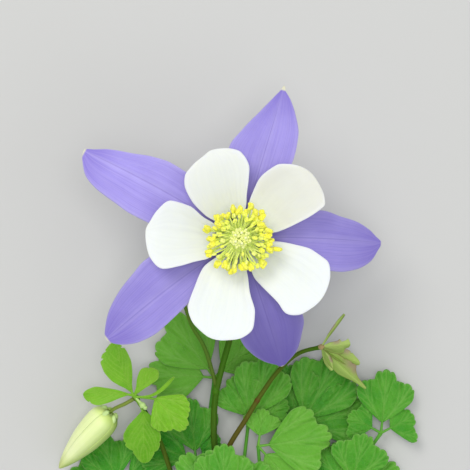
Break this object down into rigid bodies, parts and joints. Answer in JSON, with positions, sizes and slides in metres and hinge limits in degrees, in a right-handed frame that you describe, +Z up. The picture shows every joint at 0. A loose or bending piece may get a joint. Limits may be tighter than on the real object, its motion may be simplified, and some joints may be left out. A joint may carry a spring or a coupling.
{
  "type": "columbine plant",
  "caption": "Long-spurred columbine with an open bloom, buds, stems and lobed leaves, cut at the crown and laid flat with its bloom facing up.",
  "frame": {"origin": "on the surface that the plant lies on, under the middle of its box", "axes": "+Z up from the surface and along the open bloom's axis, out of its face; +Y along the plant from the cut crown to the open bloom; +X to the right as seen from above with the bloom away"},
  "size_m": [0.1045, 0.1646, 0.0615],
  "materials": {
    "sepal": "satin",
    "petal": "satin",
    "stamen": "matte",
    "pistil": "matte",
    "bud": "satin",
    "young_leaf": "satin",
    "leaf": "matte",
    "stem": "satin",
    "crown": "matte"
  },
  "bodies": {
    "root": {"crown": "crown", "flower_stem": "stem", "bud_stem": "stem", "bloom_sepals": "sepal", "bloom_petals": "petal", "bloom_stamens": "stamen", "bloom_pistils": "pistil", "pale_bud": "bud", "small_bud": "bud", "branch_bract_linear": "young_leaf", "branch_bract_folded": "young_leaf", "spray_leaves": "young_leaf", "leaf_behind_bloom": "leaf", "leaf_right_far": "leaf", "leaf_right_edge": "leaf", "leaf_left_low": "leaf", "leaf_centre": "leaf", "leaf_left_inner": "leaf", "leaf_right_middle": "leaf", "leaf_right_low": "leaf", "leaf_front": "leaf"}
  },
  "joints": []
}
